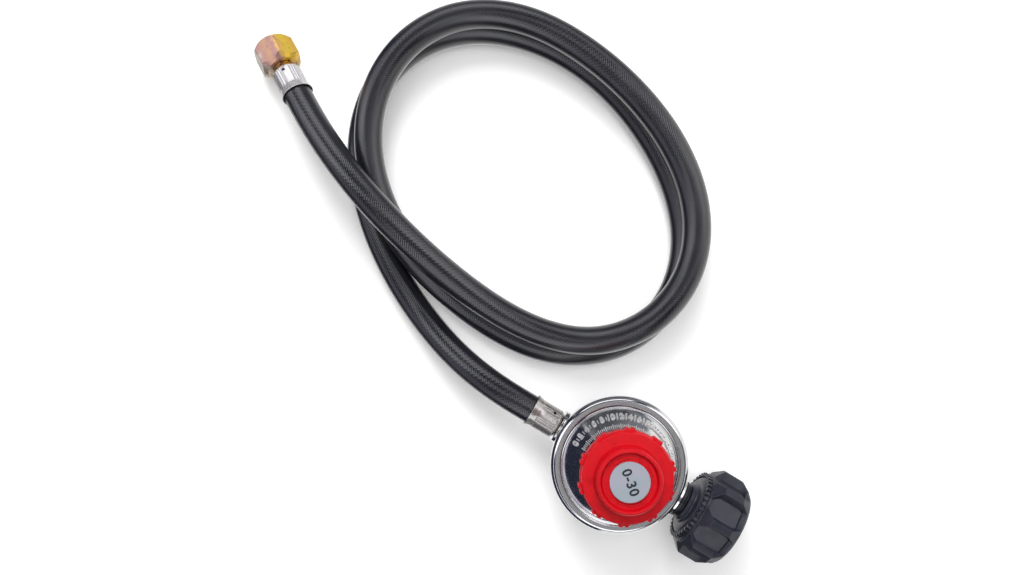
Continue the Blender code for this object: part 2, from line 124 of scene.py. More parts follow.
def toward(azimuth, elevation):
    """Unit vector at an azimuth, anticlockwise from the picture's right, and an elevation (degrees)."""
    a, e = math.radians(azimuth), math.radians(elevation)
    flat = PICTURE_RIGHT * math.cos(a) + PICTURE_UP * math.sin(a)
    return flat * math.cos(e) + Vector((0, 0, math.sin(e)))


def softbox(name, azimuth, elevation, distance, width, height, power):
    """Lamp that dull surfaces catch and bright metal doesn't mirror."""
    data = bpy.data.lights.new(name, "AREA")
    data.shape = "RECTANGLE"
    data.size, data.size_y = width, height
    data.energy = power
    made = linked(name, data)
    made.location = LAMPS_AIM + toward(azimuth, elevation) * distance
    made.rotation_euler = toward(azimuth, elevation).to_track_quat("Z", "Y").to_euler()
    made.visible_glossy = False


# What shiny pieces see round them: azimuth and elevation of the middle, half widths of each and
# softness of the edge, all in degrees, then colour and strength.
ROOM = [
    ((0, -72), (180, 27), 6, (1.0, 0.98, 1.0), 0.95),  # white table
    ((0, -8), (48, 36), 7, (1.0, 1.0, 1.0), 0.90),  # white wall on the right
    ((290, -32), (24, 22), 4, (1.0, 1.0, 1.0), 0.90),  # white wall at the bottom
    ((80, -40), (40, 20), 5, (1.0, 1.0, 1.0), 0.75),  # white wall at the top, low down
    ((80, -6), (34, 12), 8, (0.9, 0.96, 1.06), 0.20),  # grey wall at the top
    ((198, 17), (46, 8), 6, (1.0, 0.93, 1.10), 0.85),  # dim wall at the lower left
    ((0, 90), (180, 14), 8, (0.98, 0.97, 1.0), 0.32),  # ceiling
    ((163, 44), (17, 21), 6, (0.93, 0.95, 1.0), 1.8),  # softbox on the left
    ((268, 46), (20, 20), 7, (0.95, 0.96, 1.0), 1.7),  # softbox at the bottom
    ((26, 58), (15, 24), 7, (0.98, 0.97, 1.0), 1.8),  # softbox at the upper right
    ((97, 33), (26, 10), 7, (0.98, 0.97, 1.0), 1.7),  # softbox low at the top
]
ROOM_BASE = (0.020, 0.024, 0.040)
SURROUNDINGS = 0.34  # strength of the even light on dull surfaces


class Nodes:
    """Short ways to add nodes to a tree."""

    def __init__(self, tree):
        self.nodes = tree.nodes
        self.links = tree.links

    def add(self, kind, inputs=None, **settings):
        """A node with its settings made and each input set, or linked if it is given a socket."""
        made = self.nodes.new("ShaderNode" + kind)
        for key, value in settings.items():
            setattr(made, key, value)
        for socket, value in (inputs or {}).items():
            if isinstance(value, bpy.types.NodeSocket):
                self.links.new(value, made.inputs[socket])
            else:
                made.inputs[socket].default_value = value
        return made

    def math(self, operation, a, b=0.0):
        return self.add("Math", {0: a, 1: b}, operation=operation).outputs[0]

    def between(self, value, low, high, start=0.3, end=0.7, **settings):
        """The value's stretch from start to end as low to high."""
        inputs = {"Value": value, "From Min": start, "From Max": end, "To Min": low, "To Max": high}
        return self.add("MapRange", inputs, **settings).outputs["Result"]


def world():
    """Bright surfaces mirror ROOM; dull ones are lit evenly, and the camera sees white."""
    made = bpy.data.worlds.new("studio")
    bpy.context.scene.world = made
    made.use_nodes = True
    made.node_tree.nodes.clear()
    tree = Nodes(made.node_tree)
    direction = tree.add("TexCoord").outputs["Generated"]

    def along(axis):
        dot = tree.add("VectorMath", {0: direction, 1: axis}, operation="DOT_PRODUCT")
        return dot.outputs["Value"]

    def inside(value, half, edge):
        """1 within half of zero, falling smoothly to 0 over the edge (degrees)."""
        start = math.radians(half)
        end = start + math.radians(edge)
        away = tree.math("ABSOLUTE", value)
        return tree.between(away, 1.0, 0.0, start, end, interpolation_type="SMOOTHSTEP")

    height = tree.math("ARCSINE", along((0, 0, 1)))
    base = tree.add("RGB")
    base.outputs[0].default_value = (*ROOM_BASE, 1)
    colour = base.outputs[0]
    for (azimuth, elevation), (half_width, half_height), edge, tint, strength in ROOM:
        angle = tree.math("ARCTAN2", along(toward(azimuth + 90, 0)), along(toward(azimuth, 0)))
        rise = tree.math("SUBTRACT", height, math.radians(elevation))
        within = tree.math("MULTIPLY", inside(angle, half_width, edge), inside(rise, half_height, edge))
        painted = (*[c * strength for c in tint], 1)
        mix = tree.add("Mix", {"Factor": within}, data_type="RGBA")
        tree.links.new(colour, mix.inputs["A"])
        mix.inputs["B"].default_value = painted
        colour = mix.outputs["Result"]
    room = tree.add("Background", {"Color": colour})
    path = tree.add("LightPath")
    level = tree.math("MAXIMUM", path.outputs["Is Camera Ray"], SURROUNDINGS)
    plain = tree.add("Background", {"Color": (1, 1, 1, 1), "Strength": level})
    parts = {0: path.outputs["Is Glossy Ray"], 1: plain.outputs[0], 2: room.outputs[0]}
    choice = tree.add("MixShader", parts)
    tree.add("OutputWorld", {"Surface": choice.outputs[0]})


FLOOR_HALF = 6.0


def floor():
    """Pale floor that glows a little, and more further out; bright metal doesn't mirror it."""
    mesh = bpy.data.meshes.new("floor")
    corners = [(x * FLOOR_HALF, y * FLOOR_HALF, 0) for x, y in ((-1, -1), (1, -1), (1, 1), (-1, 1))]
    mesh.from_pydata(corners, [], [(0, 1, 2, 3)])
    made = linked("floor", mesh)
    look = Look(
        "floor_paper", Base_Color=(0.9, 0.9, 0.9, 1), Roughness=0.9, Specular_IOR_Level=0.0,
        Emission_Color=(1, 1, 1, 1),
    )
    place = look.add("TexCoord").outputs["Object"]
    distance = look.add("VectorMath", {0: place}, operation="LENGTH").outputs["Value"]
    look.drive("Emission Strength", look.between(distance, 0.20, 0.75, 0.4, 1.2))
    mesh.materials.append(look.material)
    made.visible_glossy = False


def studio():
    world()
    floor()
    softbox("overhead", 60, 78, 1.3, 1.0, 1.0, 8.0)
    softbox("key", 100, 46, 1.1, 0.50, 0.50, 9.0)
    bpy.context.scene.view_settings.view_transform = "Standard"
    bpy.context.scene.view_settings.look = "None"


# ---------------------------------------------------------------- mesh helpers
FILLET_STEP = 15  # degrees of arc for each segment of a fillet
STRAIGHT = 0.02  # a corner that turns by less than this (radians) stays as it is
FILLET_SHARE = 0.49  # the most of a side that one fillet may use


def polar(radius, angle):
    """X and y of a point at an angle (radians)."""
    return radius * math.cos(angle), radius * math.sin(angle)


def rounded(corners, closed=True):
    """An outline of (r, z, fillet) corners as fine points: each fillet becomes an arc."""
    points = []
    last = len(corners) - 1
    for i, (r, z, fillet) in enumerate(corners):
        here = Vector((r, z))
        if fillet == 0 or (not closed and i in (0, last)):
            points.append(here)
            continue
        before = Vector(corners[i - 1][:2]) - here
        after = Vector(corners[0 if i == last else i + 1][:2]) - here
        turn = math.pi - before.angle(after)
        if turn < STRAIGHT:
            points.append(here)
            continue
        side = min(before.length, after.length)
        reach = min(fillet * math.tan(turn / 2), FILLET_SHARE * side)
        radius = reach / math.tan(turn / 2)
        middle = (before.normalized() + after.normalized()).normalized()
        centre = here + middle * math.hypot(reach, radius)
        first = here + before.normalized() * reach - centre
        final = here + after.normalized() * reach - centre
        sweep = math.atan2(first.x * final.y - first.y * final.x, first.dot(final))
        steps = max(1, round(abs(math.degrees(sweep)) / FILLET_STEP))
        for k in range(steps + 1):
            angle = sweep * k / steps
            points.append(centre + Matrix.Rotation(angle, 2) @ first)
    return points


def finished(name, build, place=UP, sharp=32):
    """The bmesh as a smooth-shaded object, with its normals out and its flat faces kept flat."""
    bmesh.ops.remove_doubles(build, verts=build.verts, dist=0.0000005)
    bmesh.ops.recalc_face_normals(build, faces=build.faces)
    mesh = bpy.data.meshes.new(name)
    build.to_mesh(mesh)
    build.free()
    return shaded(name, mesh, place, sharp)


def shaded(name, mesh, place=UP, sharp=32):
    """The mesh as a smooth-shaded object with edges over the sharp angle (degrees) left sharp."""
    made = linked(name, mesh)
    made.matrix_world = place
    mesh.shade_smooth()
    mesh.set_sharp_from_angle(angle=math.radians(sharp))
    weighted = made.modifiers.new("Flat faces", "WEIGHTED_NORMAL")
    weighted.keep_sharp = True
    return made


def lathe(name, corners, place=UP, closed=True, segments=128, shape=None, sharp=32):
    """Body of revolution about the place's +Z, from (radius, height, fillet) corners in millimetres.
    A closed one is a ring; the other starts and ends on the axis. shape(r, z, angle) may move each
    point to another radius and height."""
    build = bmesh.new()
    rings = []
    for r, z in rounded(corners, closed):
        if r < 0.0001:
            rings.append([build.verts.new((0, 0, z * MM))] * segments)
            continue
        ring = []
        for i in range(segments):
            angle = 2 * math.pi * i / segments
            radius, level = shape(r, z, angle) if shape else (r, z)
            at = (*polar(radius, angle), level)
            ring.append(build.verts.new([part * MM for part in at]))
        rings.append(ring)
    if closed:
        rings.append(rings[0])
    for a, b in zip(rings, rings[1:]):
        for i in range(segments):
            j = (i + 1) % segments
            corner = list(dict.fromkeys((a[i], a[j], b[j], b[i])))
            if len(corner) > 2:
                build.faces.new(corner)
    return finished(name, build, place, sharp)


def prism(name, outline, low, high, place=UP):
    """Flat outline of (x, y) points in millimetres between two heights."""
    build = bmesh.new()
    bottom = [build.verts.new((x * MM, y * MM, low * MM)) for x, y in outline]
    top = [build.verts.new((x * MM, y * MM, high * MM)) for x, y in outline]
    build.faces.new(bottom)
    build.faces.new(top)
    for i, vertex in enumerate(bottom):
        j = (i + 1) % len(bottom)
        build.faces.new((vertex, bottom[j], top[j], top[i]))
    return finished(name, build, place)


def rod(name, radius, low, high, place=UP, sides=64):
    """Cylinder about the place's +Z."""
    outline = [polar(radius, a) for a in np.linspace(0, 2 * math.pi, sides, False)]
    return prism(name, outline, low, high, place)


def block(name, low, high, place=UP):
    """Box between two opposite corners."""
    outline = [(low[0], low[1]), (high[0], low[1]), (high[0], high[1]), (low[0], high[1])]
    return prism(name, outline, low[2], high[2], place)


def settled(piece):
    """The piece's mesh with its modifiers applied, as new data."""
    bpy.context.view_layer.update()
    graph = bpy.context.evaluated_depsgraph_get()
    return bpy.data.meshes.new_from_object(piece.evaluated_get(graph))


def carved(target, joins=(), cuts=(), bevel=0.0, sharp=32):
    """The target joined with and cut by the other objects, as one plain mesh."""
    jobs = [(o, "UNION") for o in joins] + [(o, "DIFFERENCE") for o in cuts]
    target.modifiers.clear()
    for other, operation in jobs:
        other.modifiers.clear()
        change = target.modifiers.new(other.name, "BOOLEAN")
        change.operation = operation
        change.object = other
    if bevel:
        edge = target.modifiers.new("Edges", "BEVEL")
        edge.width = bevel * MM
        edge.segments = 2
        edge.limit_method = "ANGLE"
        edge.angle_limit = math.radians(28)
        edge.use_clamp_overlap = True
    mesh = settled(target)
    name, place = target.name, target.matrix_world.copy()
    for other in [target] + [o for o, _ in jobs]:
        bpy.data.objects.remove(other, do_unlink=True)
    mesh.name = name
    return shaded(name, mesh, place, sharp)


def merged(name, objects):
    """Several objects as one object at the origin."""
    build = bmesh.new()
    for piece in objects:
        mesh = settled(piece)
        mesh.transform(piece.matrix_world)
        build.from_mesh(mesh)
        bpy.data.meshes.remove(mesh)
    for piece in objects:
        bpy.data.objects.remove(piece, do_unlink=True)
    return finished(name, build)


def skin(build, rings):
    """Faces between each ring of points and the next, and one over each end."""
    for a, b in zip(rings, rings[1:]):
        for i in range(len(a)):
            j = (i + 1) % len(a)
            build.faces.new((a[i], a[j], b[j], b[i]))
    build.faces.new(rings[0])
    build.faces.new(rings[-1])


THREAD_STEPS = 72  # for each turn
THREAD_FADE = 12  # steps over which a thread's ends run out
THREAD_ROOT = 0.35  # depth of the ridge's foot in the wall, mm


def thread(name, radius, depth, pitch, low, high, place):
    """Inward ridge of an internal thread, as a closed helical strip rooted in the bore's wall."""
    count = round((high - low) / pitch * THREAD_STEPS)
    section = [(THREAD_ROOT, -0.42), (-depth, -0.12), (-depth, 0.12), (THREAD_ROOT, 0.42)]
    build = bmesh.new()
    rings = []
    for i in range(count + 1):
        angle = 2 * math.pi * i / THREAD_STEPS
        fade = min(1.0, i / THREAD_FADE, (count - i) / THREAD_FADE)
        ring = []
        for out, up in section:
            r = (radius + (out if out > 0 else out * fade)) * MM
            z = (low + pitch * (i / THREAD_STEPS) + up * pitch) * MM
            ring.append(build.verts.new((*polar(r, angle), z)))
        rings.append(ring)
    skin(build, rings)
    return finished(name, build, place)


def lettering(name, text, size, depth, place, squeeze=1.0, weight=0.0, round_off=0.0, spread=1.0):
    """Raised numerals, their middle at the place's origin. Squeeze scales their width, weight thickens
    their strokes, round_off rounds their edges and spread moves them apart."""
    curve = bpy.data.curves.new(name, "FONT")
    curve.body = text
    curve.size = size * MM
    curve.extrude = depth * MM / 2
    curve.offset = weight * MM
    curve.bevel_depth = round_off * MM
    curve.bevel_resolution = 1
    curve.space_character = spread
    curve.align_x = "CENTER"
    curve.align_y = "CENTER"
    curve.resolution_u = 6
    made = linked(name, curve)
    mesh = settled(made)
    bpy.data.objects.remove(made, do_unlink=True)
    mesh.transform(Matrix.Diagonal((squeeze, 1, 1, 1)))
    solid = linked(name, mesh)
    solid.matrix_world = place
    return solid


def dress(piece, look, body, slot, *nodes):
    """Gives a piece its material and body and hides the CAD nodes that it stands for; slot is not used.
    """
    piece.data.materials.clear()
    piece.data.materials.append(look)
    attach(piece, body)
    if nodes:
        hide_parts(*nodes)
    return piece


# ---------------------------------------------------------------- materials
class Look(Nodes):
    """A Principled material and short ways to drive its sockets."""

    def __init__(self, name, **sockets):
        self.material = bpy.data.materials.new(name)
        self.material.use_nodes = True
        super().__init__(self.material.node_tree)
        self.shader = self.nodes["Principled BSDF"]
        for socket, value in sockets.items():
            self.shader.inputs[socket.replace("_", " ")].default_value = value

    def drive(self, socket, value):
        """Links a value to one of the material's own sockets."""
        self.links.new(value, self.shader.inputs[socket])

    def place(self, scale=(1, 1, 1)):
        """Object coordinates, stretched."""
        source = self.add("TexCoord").outputs["Object"]
        return self.add("Mapping", {"Vector": source, "Scale": scale}).outputs[0]

    def noise(self, scale, detail=3.0, at=None):
        inputs = {"Vector": at or self.place(), "Scale": scale, "Detail": detail}
        return self.add("TexNoise", inputs).outputs["Fac"]

    def ramp(self, value, stops):
        """The value as a colour, from (position, colour) stops."""
        made = self.add("ValToRGB", {"Fac": value})
        elements = made.color_ramp.elements
        elements[1].position = stops[-1][0]
        elements[1].color = (*stops[-1][1], 1)
        elements[0].position = stops[0][0]
        elements[0].color = (*stops[0][1], 1)
        for position, colour in stops[1:-1]:
            elements.new(position).color = (*colour, 1)
        return made.outputs["Color"]

    def wear(self, colours, roughness, scale, bump=0.0, bump_scale=900.0, at=None):
        """Colour and roughness that wander with noise, over a fine bump."""
        patches = self.noise(scale, 4.0, at)
        stops = [(0.3 + 0.4 * i / (len(colours) - 1), c) for i, c in enumerate(colours)]
        self.drive("Base Color", self.ramp(patches, stops))
        smears = self.noise(scale * 2.3, 5.0, at)
        self.drive("Roughness", self.between(smears, *roughness))
        if bump:
            self.bump(self.noise(bump_scale, 2.0, at), bump)
        return self

    def bump(self, height, distance, coat=False):
        """Raises the surface by height times the distance (mm), and the coat over it too."""
        made = self.add("Bump", {"Height": height, "Distance": distance * MM}).outputs[0]
        self.drive("Normal", made)
        if coat:
            self.drive("Coat Normal", made)


def plated_zinc():
    look = Look("plated_zinc", Metallic=1.0)
    tints = [(0.80, 0.81, 0.83), (0.86, 0.86, 0.86), (0.82, 0.82, 0.81)]
    look.wear(tints, (0.10, 0.20), 90, 0.012, 420)
    return look.material


def worn_zinc():
    """Raised figures on the bonnet, rubbed to a duller shine than the plate round them."""
    look = Look("worn_zinc", Metallic=0.75)
    look.wear([(0.74, 0.74, 0.75), (0.88, 0.88, 0.88)], (0.30, 0.46), 300, 0.01, 1500)
    return look.material


def nickel(name, colours, metallic):
    """Bright plate with fine lines drawn along the ferrule."""
    look = Look(name, Metallic=metallic)
    drawn = look.place((1, 1, 0.05))
    look.wear(colours, (0.20, 0.32), 700, 0.015, 2200, drawn)
    return look.material


def yellow_zinc():
    """Iridescent yellow chromate, mottled: each flat gets a tint by its facing, from pink to gold, partly
    the plate's own colour and partly painted light, the gold flats painted brighter as lit and the pink
    ones darker as shaded.
    """
    look = Look("yellow_zinc", Metallic=0.62)
    place = look.place()
    axes = look.add("SeparateXYZ", {0: place})
    turn = look.math("ARCTAN2", axes.outputs[1], axes.outputs[0])
    mottle = look.noise(420, 4.0, place)
    patches = look.noise(150, 3.0)
    wander = look.math("MULTIPLY", look.math("SUBTRACT", mottle, 0.5), 0.10)
    round_it = look.math("ADD", look.math("MULTIPLY", turn, 1 / (2 * math.pi)), 0.5)
    face = look.math("ADD", round_it, wander)
    # Tints by facing: the chromate's own colour with painted light, the bright gold flats painted as lit
    # and the dark pink ones painted as shaded.
    stops = [  # -180 to 180 degrees about the nut's axis
        (0.0, (0.62, 0.38, 0.10)), (0.16, (0.54, 0.38, 0.28)), (0.44, (0.54, 0.49, 0.41)),
        (0.62, (0.54, 0.47, 0.39)), (0.66, (0.46, 0.25, 0.24)), (0.72, (0.58, 0.32, 0.20)),
        (0.78, (0.46, 0.24, 0.27)), (0.815, (0.95, 0.56, 0.14)), (0.88, (1.0, 0.68, 0.03)),
        (0.96, (0.90, 0.54, 0.10)),
    ]
    share = look.between(patches, 0.0, 0.25, 0.35, 0.7)
    tint = look.add("Mix", {"Factor": share}, data_type="RGBA")
    look.links.new(look.ramp(face, stops), tint.inputs["A"])
    tint.inputs["B"].default_value = (0.66, 0.45, 0.30, 1)
    look.drive("Base Color", tint.outputs["Result"])
    look.drive("Roughness", look.between(mottle, 0.24, 0.42))
    return look.material


def brass():
    look = Look("brass", Metallic=1.0)
    look.wear([(0.80, 0.58, 0.28), (0.88, 0.68, 0.36)], (0.18, 0.34), 220, 0.01, 1800)
    return look.material


def steel():
    look = Look("spring_steel", Metallic=1.0)
    look.wear([(0.48, 0.49, 0.50), (0.62, 0.62, 0.63)], (0.25, 0.42), 300, 0.012, 1500)
    return look.material


def red_plastic():
    look = Look("red_plastic", Specular_IOR_Level=0.25)
    tints = [(0.48, 0.001, 0.006), (0.56, 0.003, 0.010), (0.52, 0.002, 0.008)]
    look.wear(tints, (0.30, 0.42), 160, 0.02, 1300)
    return look.material


def charcoal_plastic():
    look = Look("charcoal_plastic")
    tints = [(0.013, 0.015, 0.024), (0.021, 0.023, 0.034), (0.016, 0.018, 0.028)]
    look.wear(tints, (0.28, 0.40), 120, 0.035, 1600)
    return look.material


def black_plastic():
    look = Look("black_plastic")
    look.wear([(0.006, 0.007, 0.011), (0.012, 0.013, 0.019)], (0.3, 0.45), 200, 0.02, 1500)
    return look.material


def label_face():
    look = Look("label_face", Coat_Weight=0.3, Coat_Roughness=0.15)
    tints = [(0.27, 0.34, 0.37), (0.31, 0.34, 0.39), (0.35, 0.33, 0.41)]
    look.wear(tints, (0.3, 0.42), 110, 0.006, 2600)
    return look.material


def label_ink():
    look = Look("label_ink")
    look.wear([(0.010, 0.011, 0.015), (0.024, 0.025, 0.032)], (0.35, 0.5), 900)
    return look.material


def diaphragm_rubber():
    look = Look("diaphragm_rubber")
    look.wear([(0.022, 0.022, 0.024), (0.036, 0.036, 0.038)], (0.5, 0.65), 260, 0.03, 1400)
    return look.material


def hose_rubber():
    """Black rubber with the imprint of a cloth wrap: fine slanting ribs and a fainter crossing set."""
    look = Look("hose_rubber", Coat_Weight=1.0, Coat_Roughness=0.14, Coat_IOR=1.6)
    parts = look.add("SeparateXYZ", {0: look.add("UVMap").outputs[0]})
    around, length = parts.outputs[0], parts.outputs[1]
    worn = look.noise(60, 4.0)

    def lines(turns, per_metre, wobble=0.0):
        """Wave from -1 to 1 with so many periods round the hose and along each metre of it."""
        round_it = look.math("MULTIPLY", around, turns)
        phase = look.math("ADD", round_it, look.math("MULTIPLY", length, per_metre))
        phase = look.math("ADD", phase, look.math("MULTIPLY", worn, wobble))
        return look.math("SINE", look.math("MULTIPLY", phase, 2 * math.pi))

    slant = lines(30, 820, 1.2)
    cross = lines(-22, 500)
    height = look.math("ADD", slant, look.math("MULTIPLY", cross, 0.45))
    look.bump(height, 0.026, coat=True)
    tint = look.math("ADD", worn, look.math("MULTIPLY", slant, 0.10))
    stops = [(0.3, (0.004, 0.004, 0.007)), (0.7, (0.009, 0.009, 0.014))]
    look.drive("Base Color", look.ramp(tint, stops))
    look.drive("Roughness", look.between(worn, 0.30, 0.40))
    return look.material


# ---------------------------------------------------------------- hose
def smooth_line(route, step):
    """Points about every step along the natural cubic spline through the route."""
    knots = np.array(route, float)
    last = len(knots) - 1
    gaps = np.linalg.norm(np.diff(knots, axis=0), axis=1)
    at = np.concatenate([[0], np.cumsum(gaps)])
    matrix = np.eye(last + 1)
    right = np.zeros((last + 1, 3))
    for i in range(1, last):
        matrix[i, i - 1 : i + 2] = gaps[i - 1], 2 * (gaps[i - 1] + gaps[i]), gaps[i]
        after, before = (knots[i + 1] - knots[i]) / gaps[i], (knots[i] - knots[i - 1]) / gaps[i - 1]
        right[i] = 6 * (after - before)
    bend = np.linalg.solve(matrix, right)
    where = np.linspace(0, at[-1], round(at[-1] / step) + 1)
    k = np.clip(np.searchsorted(at, where, side="right") - 1, 0, last - 1)
    u = (where - at[k])[:, None]
    h = gaps[k][:, None]
    slope = (knots[k + 1] - knots[k]) / h - h * (2 * bend[k] + bend[k + 1]) / 6
    return knots[k] + u * slope + u**2 * bend[k] / 2 + u**3 * (bend[k + 1] - bend[k]) / (6 * h)


def tube(name, line, radius, sides=48):
    """Closed tube along the line (mm) with UVs: u once round, v in metres along it."""
    line = line * MM
    tangent = np.gradient(line, axis=0)
    tangent /= np.linalg.norm(tangent, axis=1)[:, None]
    length = np.concatenate([[0], np.cumsum(np.linalg.norm(np.diff(line, axis=0), axis=1))])
    across = np.cross(tangent[0], (0, 0, 1.0))
    angles = np.linspace(0, 2 * math.pi, sides, False)
    points = []
    for at, along in zip(line, tangent):
        across = across - along * across.dot(along)
        across /= np.linalg.norm(across)
        up = np.cross(across, along)
        ring = np.outer(np.cos(angles), across) + np.outer(np.sin(angles), up)
        points.append(at + radius * MM * ring)
    points = np.concatenate(points)
    rows = len(line)
    faces, uvs = [], []
    for i in range(rows - 1):
        for j in range(sides):
            k = (j + 1) % sides
            faces.append((i * sides + j, i * sides + k, (i + 1) * sides + k, (i + 1) * sides + j))
            u, v = j / sides, (j + 1) / sides
            uvs += [(u, length[i]), (v, length[i]), (v, length[i + 1]), (u, length[i + 1])]
    start, end = list(range(sides)), [(rows - 1) * sides + j for j in range(sides)]
    for cap, at in ((start[::-1], 0), (end, -1)):
        faces.append(cap)
        uvs += [(0.0, length[at])] * sides
    mesh = bpy.data.meshes.new(name)
    mesh.from_pydata(points.tolist(), [], faces)
    layer = mesh.uv_layers.new(name="UVMap")
    layer.data.foreach_set("uv", np.array(uvs, np.float32).ravel())
    mesh.validate()
    made = linked(name, mesh)
    mesh.shade_smooth()
    mesh.set_sharp_from_angle(angle=math.radians(50))
    return made


# ---------------------------------------------------------------- regulator
LEDGE_Z, LIP_R, LIP_TOP, RIM_R = 31.0, 28.8, 36.4, 32.6
FLANGE_R, FLANGE_TOP = 31.4, 34.6
CONE_FOOT_R, CONE_FOOT_Z, CONE_TOP_R, CONE_TOP_Z = 26.6, 37.0, 16.5, 50.5
TOWER_R, TOWER_BORE_R, TOWER_TOP, TOWER_ROOF = 12.3, 10.3, 62.3, 57.0
INLET_END, OUTLET_END = 34.3, 33.1
LEVER_PIN = (14.0, 0, 16.2)


def port(name, place, end, collar):
    """Boss with a collar at its end, flaring out into the bowl."""
    return lathe(
        name,
        [
            (0, end, 0), (collar, end, 0.35), (collar, 31.9, 0.6), (8.4, 31.2, 0.6), (7.9, 29.5, 0.8),
            (8.6, 26.8, 3), (11.5, 24.5, 0), (0, 21.0, 0),
        ],
        place, closed=False, segments=96,
    )


def casting(look):
    """Lower bowl with its rolled lip, two ports with flared roots, and the posts of the lever's pin."""
    gap = 0.3
    bowl = lathe(
        "casting_shell",
        [
            (0, 6.5, 0), (20.0, 6.5, 1.5), (25.3, 15.0, 2), (25.5, LEDGE_Z, 0.2),
            (FLANGE_R + gap, LEDGE_Z, 0), (FLANGE_R + gap, FLANGE_TOP + gap, 0),
            (LIP_R, FLANGE_TOP + gap, 0.15), (LIP_R, LIP_TOP, 0.12), (30.6, LIP_TOP + 0.05, 0.5),
            (31.3, LIP_TOP - 0.2, 1.2), (RIM_R, 34.7, 1.6), (RIM_R, 29.6, 1.0), (31.6, 28.2, 1.2),
            (29.7, 26.4, 2.0), (28.4, 16.0, 14), (25.2, 8.4, 12), (19.6, 1.6, 4.0), (18.2, 0, 0.8),
            (15.6, 0, 0.4), (15.0, 0.9, 0.4), (0, 0.9, 0),
        ],
        closed=False, segments=192,
    )
    ports = [port("inlet_port", INLET, INLET_END, 9.7), port("outlet_port", OUTLET, OUTLET_END, 8.2)]
    posts = [
        block("pin_post_left", (11.4, 1.9, 4.0), (16.6, 4.6, 18.7)),
        block("pin_post_right", (11.4, -4.6, 4.0), (16.6, -1.9, 18.7)),
    ]
    bores = [
        rod("inlet_thread", 6.6, 23.0, INLET_END + 2, INLET),
        rod("nozzle_bore", 4.0, 15.0, 24.0, INLET),
        rod("outlet_thread", 5.3, 25.5, OUTLET_END + 2, OUTLET),
        rod("outlet_port_bore", 3.0, 15.0, 26.5, OUTLET, 32),
    ]
    pin_hole = rod("pin_hole", 1.3, -6.0, 6.0, frame_at((0, 1, 0), LEVER_PIN), 24)
    shell = carved(carved(bowl, ports, bores), posts, [pin_hole])
    dress(shell, look, "regulator", "zinc_plate", "body_casting")


def bonnet(look):
    """Cone and spring tower, with a fine step where the cone meets the lip."""
    flange_low = LEDGE_Z + 0.9 + 0.6  # the diaphragm's edge lies between the ledge and the flange
    shell = lathe(
        "bonnet_shell",
        [
            (4.3, TOWER_TOP, 0.2), (TOWER_R, TOWER_TOP, 0.7), (TOWER_R, 52.2, 0.6), (13.2, 51.2, 0.8),
            (CONE_TOP_R, CONE_TOP_Z, 1.2), (CONE_FOOT_R, CONE_FOOT_Z, 0.3), (26.9, 36.45, 0.12),
            (28.0, 36.4, 0.5), (28.25, FLANGE_TOP, 0.2), (FLANGE_R, FLANGE_TOP, 0),
            (FLANGE_R, flange_low, 0), (26.0, flange_low, 0), (25.6, 34.0, 0), (14.5, 47.8, 0),
            (TOWER_BORE_R, 49.0, 0), (TOWER_BORE_R, TOWER_ROOF, 0), (4.3, TOWER_ROOF, 0),
        ],
        segments=192,
    )
    vent = rod("vent_hole", 1.2, -6.0, 6.0, frame_at((-1, -1, 1.3), (-12.5, -12.5, 47.5)), 32)
    dress(carved(shell, cuts=[vent]), look, "regulator", "zinc_plate", "bonnet")


CONE_SLOPE = math.atan2(CONE_TOP_Z - CONE_FOOT_Z, CONE_FOOT_R - CONE_TOP_R)


def on_cone(azimuth, radius, lift=0.0):
    """Place on the cone at a picture azimuth: X clockwise round it, Y down its slope, Z out of it."""
    angle = math.radians(azimuth) + IMAGE_TURN
    out = Vector((math.cos(angle), math.sin(angle), 0))
    round_it = Vector((math.sin(angle), -math.cos(angle), 0))
    down = out * math.cos(CONE_SLOPE) - Vector((0, 0, 1)) * math.sin(CONE_SLOPE)
    normal = out * math.sin(CONE_SLOPE) + Vector((0, 0, 1)) * math.cos(CONE_SLOPE)
    height = CONE_TOP_Z - (radius - CONE_TOP_R) * math.tan(CONE_SLOPE)
    at = (out * radius + Vector((0, 0, height)) + normal * lift) * MM
    return Matrix.Translation(at) @ Matrix((round_it, down, normal)).transposed().to_4x4()


SCALE_FIRST, SCALE_LAST = 152.0, 2.0  # azimuths of the scale's two ends
SCALE_GAPS = 15
SCALE_R, INNER_SCALE_R = 23.9, 20.2


def scale_marks(look):
    """Raised scale round the cone: even numerals 0 to 30 with ticks between, and an inner row."""
    step = (SCALE_LAST - SCALE_FIRST) / SCALE_GAPS
    pieces = []
    for i in range(SCALE_GAPS + 1):
        place = on_cone(SCALE_FIRST + i * step, SCALE_R, 0.05)
        pieces.append(lettering(f"numeral_{2 * i}", str(2 * i), 4.3, 0.9, place, 0.95, 0.10, 0.12))
        if i < SCALE_GAPS:
            pieces.append(scale_tick(f"tick_{i}", SCALE_FIRST + (i + 0.5) * step, SCALE_R, 0.9))
    for i, azimuth in enumerate(np.linspace(SCALE_FIRST, SCALE_LAST, 4 * SCALE_GAPS + 1)):
        tall = 1.35 if i % 4 == 0 else 0.7
        pieces.append(scale_tick(f"inner_tick_{i}", azimuth, INNER_SCALE_R, tall))
    dress(merged("bonnet_scale_marks", pieces), look, "regulator", "zinc_plate")


def scale_tick(name, azimuth, radius, tall):
    """Short raised bar that points down the cone."""
    tick = block(name, (-0.26, -tall, -0.3), (0.26, tall, 0.38), on_cone(azimuth, radius))
    tick.modifiers.clear()
    return tick


# ---------------------------------------------------------------- knob
KNOB_BOTTOM, KNOB_SHOULDER, KNOB_TOP, KNOB_R = 56.8, 64.0, 72.0, 20.9
LABEL_R = 8.9
LUGS = 10
LUG = [  # outline of one lug: two small teeth
    (20.0, -2.6), (21.6, -2.4), (22.1, -1.7), (21.9, -0.7), (21.3, -0.3), (21.3, 0.3), (22.0, 0.8),
    (21.8, 1.9), (20.9, 2.5), (20.0, 2.6),
]
KNOB_FLOOR = KNOB_TOP - 2.2  # the sunk face round the label
SIGN_R = 10.45


